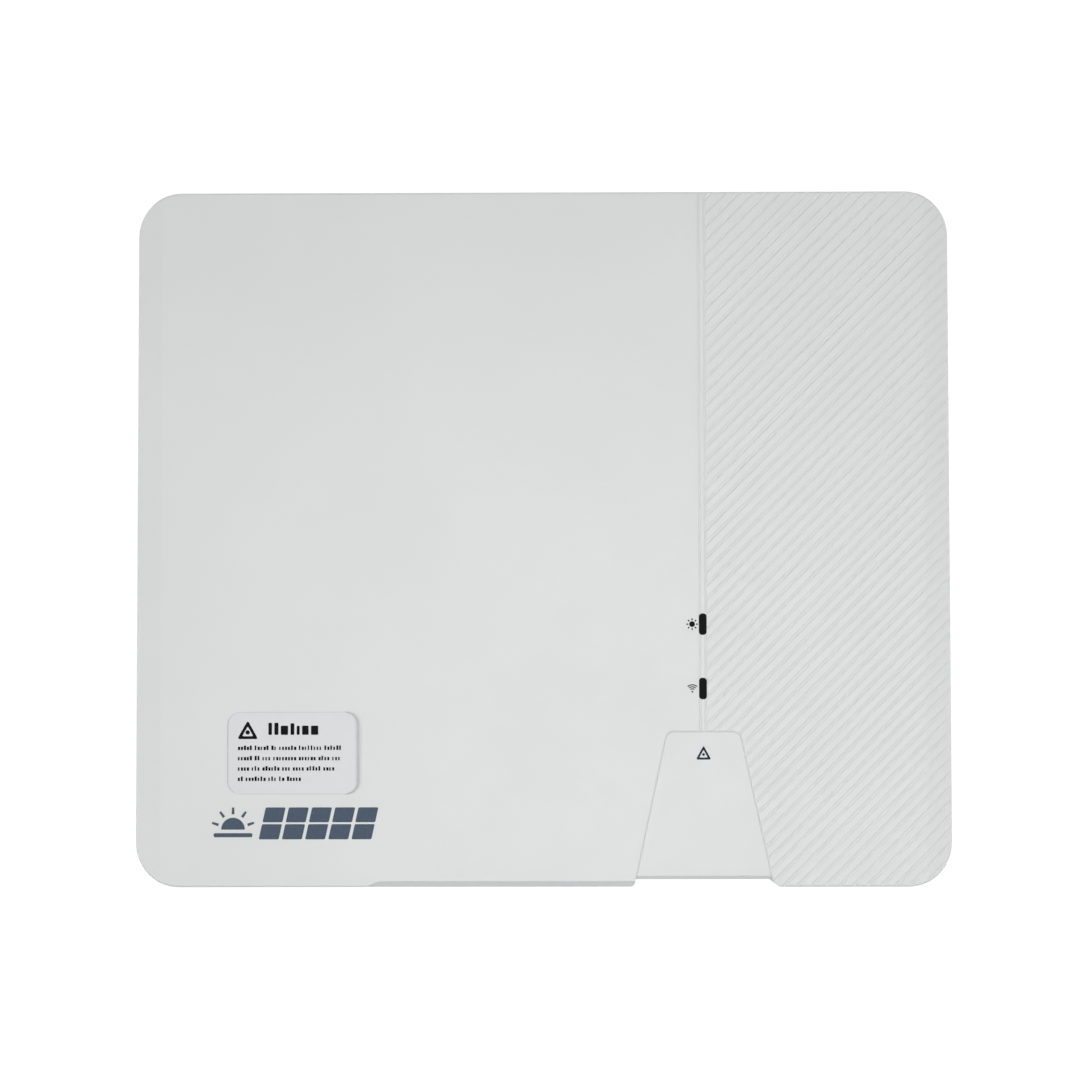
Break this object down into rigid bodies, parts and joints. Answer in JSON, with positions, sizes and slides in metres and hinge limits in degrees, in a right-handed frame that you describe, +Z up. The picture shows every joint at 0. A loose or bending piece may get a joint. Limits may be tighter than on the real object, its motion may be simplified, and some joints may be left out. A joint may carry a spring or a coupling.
{
  "type": "string inverter",
  "caption": "Wall-hung solar string inverter: flat rounded cover with a grooved side field and a trapezium notch, over a finned cast case with its connectors underneath.",
  "frame": {"origin": "centre of the wall bracket's four screw holes, on the wall plane", "axes": "+X to the right seen from the front, +Y into the wall, +Z up"},
  "size_m": [0.303, 0.1182, 0.259],
  "materials": {
    "cover_plastic": "fine grain",
    "smoked_lens": "gloss",
    "label_film": "satin",
    "cast_aluminium": "die-cast, shot-blasted",
    "sheet_aluminium": "satin",
    "seal_rubber": "matte",
    "zinc_screw": "zinc plated",
    "bracket_steel": "galvanised",
    "black_plastic": "moulded",
    "knob_plastic": "moulded",
    "bezel_plastic": "moulded",
    "tinned_brass": "tinned",
    "board_green": "solder mask",
    "ferrite": "matte",
    "copper_winding": "enamelled",
    "capacitor_sleeve": "sleeved",
    "film_box": "moulded",
    "relay_box": "moulded",
    "terminal_plastic": "moulded",
    "silicone_pad": "matte",
    "clear_plastic": "clear",
    "wire_red": "satin",
    "wire_black": "satin",
    "wire_brown": "satin",
    "ribbon_grey": "matte",
    "insulation_film": "satin",
    "lamp_epoxy": "diffused"
  },
  "bodies": {
    "wall_bracket": {"wall_bracket": "bracket_steel"},
    "inverter": {"front_cover": "cover_plastic", "notch_panel": "cover_plastic", "status_lenses": "smoked_lens", "notice_label": "label_film", "cover_screws": "zinc_screw", "case": "cast_aluminium", "heat_sink": "cast_aluminium", "heat_sink_screws": "zinc_screw", "case_gasket": "seal_rubber", "case_lid": "sheet_aluminium", "lid_screws": "zinc_screw", "hanger": "bracket_steel", "hanger_screws": "zinc_screw", "ground_screw": "zinc_screw", "ground_washer": "zinc_screw", "switch_body": "black_plastic", "switch_bezel": "bezel_plastic", "pv_socket_neg": "black_plastic", "pv_socket_pos": "black_plastic", "pv_contacts": "tinned_brass", "pv_nuts": "black_plastic", "com_port": "black_plastic", "com_nut": "black_plastic", "ac_socket": "black_plastic", "ac_barrel": "black_plastic", "ac_gasket": "seal_rubber", "ac_pins": "tinned_brass", "ac_screws": "zinc_screw", "vent_plug": "black_plastic", "main_board": "board_green", "board_standoffs": "tinned_brass", "board_screws": "zinc_screw", "transistors": "black_plastic", "thermal_pads": "silicone_pad", "clamp_bar": "zinc_screw", "bus_capacitors": "capacitor_sleeve", "boost_inductor": "copper_winding", "output_inductors": "copper_winding", "emi_chokes": "ferrite", "film_capacitors": "film_box", "relays": "relay_box", "current_sensors": "relay_box", "aux_transformer": "ferrite", "dc_terminals": "terminal_plastic", "ac_terminals": "terminal_plastic", "control_board": "board_green", "board_header": "black_plastic", "led_board": "board_green", "led_chips": "lamp_epoxy", "light_guide": "clear_plastic", "led_ribbon": "ribbon_grey", "dc_wire_neg": "wire_black", "dc_wire_pos": "wire_red", "ac_wires": "wire_brown", "insulation_sheet": "insulation_film"},
    "dc_switch": {"switch_knob": "knob_plastic", "switch_shaft": "zinc_screw"},
    "com_seal_carrier": {"com_cap_seal": "seal_rubber"},
    "com_cap": {"com_cap": "black_plastic"}
  },
  "joints": [
    {"name": "unit_lift", "type": "slide", "parent": "wall_bracket", "child": "inverter", "axis": [0, 0, 1], "range_m": [0, 0.014]},
    {"name": "dc_switch_turn", "type": "hinge", "parent": "inverter", "child": "dc_switch", "pos_m": [-0.097, -0.064, -0.1], "axis": [0, 0, 1], "range_deg": [0, 90]},
    {"name": "com_cap_travel", "type": "slide", "parent": "inverter", "child": "com_seal_carrier", "axis": [0, 0, -1], "range_m": [0, 0.006]},
    {"name": "com_cap_spin", "type": "hinge", "parent": "com_seal_carrier", "child": "com_cap", "pos_m": [0.012, -0.064, -0.106], "axis": [0, 0, -1], "range_deg": [0, 1440]}
  ],
  "couplings": [
    {"joint": "com_cap_travel", "follows": "com_cap_spin", "m_per_rad": 0.00023873}
  ]
}
